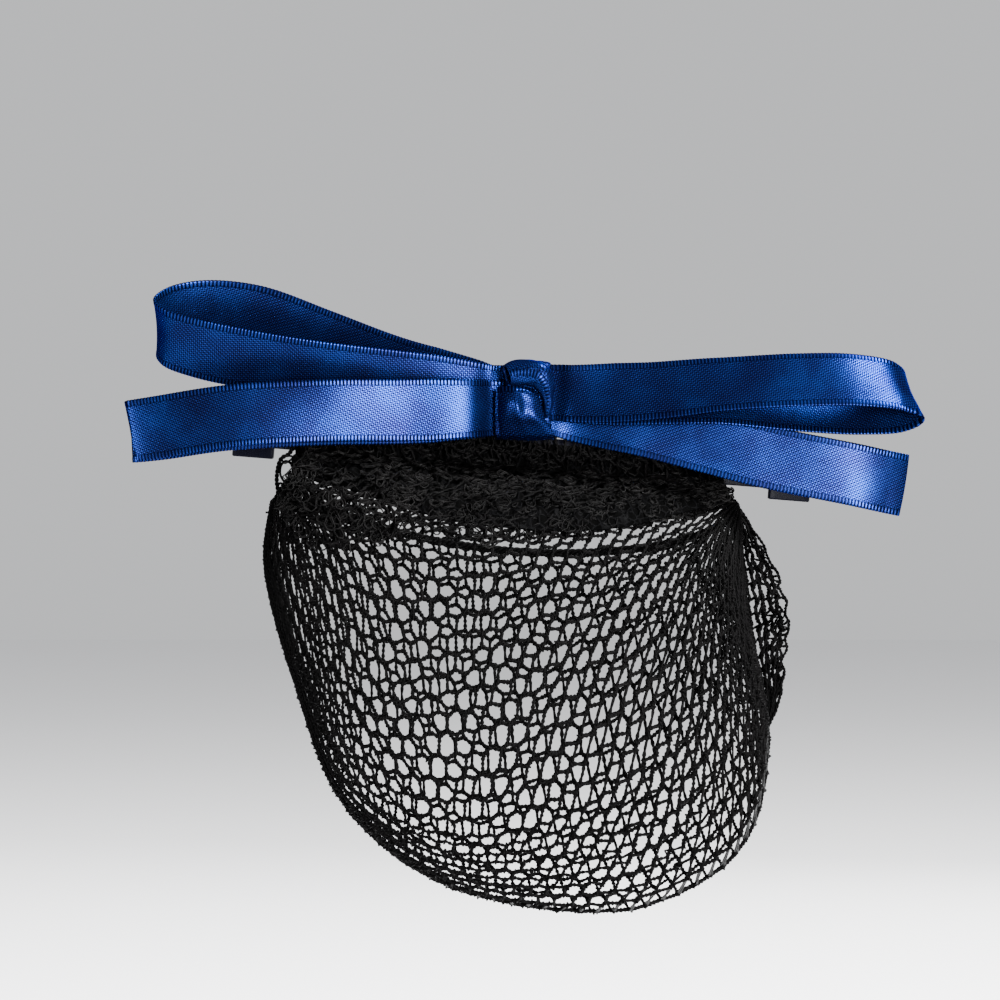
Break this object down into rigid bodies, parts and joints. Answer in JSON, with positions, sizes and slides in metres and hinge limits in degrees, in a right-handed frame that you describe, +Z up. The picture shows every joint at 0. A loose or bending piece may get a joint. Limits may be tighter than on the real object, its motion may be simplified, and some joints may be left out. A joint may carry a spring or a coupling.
{
  "type": "crochet hair snood with barrette and ribbon bow",
  "caption": "Crocheted net pouch hung from a curved bar barrette, with a gathered heading, a slack side frill and a satin ribbon bow tied over the clip.",
  "frame": {"origin": "middle of the barrette's hair gap, where it closes on the hair at the back of the head", "axes": "+X along the barrette to the right as seen from behind the wearer, +Y towards the head, +Z up"},
  "size_m": [0.1335, 0.0566, 0.1062],
  "materials": {
    "barrette_metal": "black lacquer, semi-gloss",
    "net_yarn": "matte black two-ply crochet yarn",
    "ribbon_satin": "royal blue woven satin with plain selvedges"
  },
  "bodies": {
    "root": {"barrette": "barrette_metal", "net_pouch": "net_yarn", "gathered_heading": "net_yarn", "side_ruffle": "net_yarn", "bow_knot": "ribbon_satin", "upper_left_loop": "ribbon_satin", "lower_left_fold": "ribbon_satin", "upper_right_loop": "ribbon_satin", "lower_right_fold": "ribbon_satin"}
  },
  "joints": []
}
